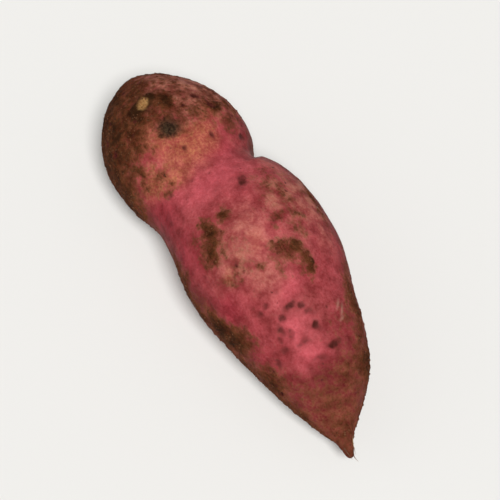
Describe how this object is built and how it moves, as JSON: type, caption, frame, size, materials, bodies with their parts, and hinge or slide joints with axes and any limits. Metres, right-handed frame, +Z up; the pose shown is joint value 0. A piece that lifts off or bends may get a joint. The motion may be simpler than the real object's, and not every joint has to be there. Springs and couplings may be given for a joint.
{
  "type": "sweet potato",
  "caption": "Whole raw sweet potato: a knobbly tuberous root with a pinched, slanting waist and a tapering end, lying on its side.",
  "frame": {"origin": "on the surface that the root lies on, under the middle of its box", "axes": "+X along the root from its crown to its tail, +Z up"},
  "size_m": [0.175, 0.0644, 0.057],
  "materials": {
    "skin": "satin",
    "soil": "matte"
  },
  "bodies": {
    "root": {"sweet_potato": "skin"}
  },
  "joints": []
}
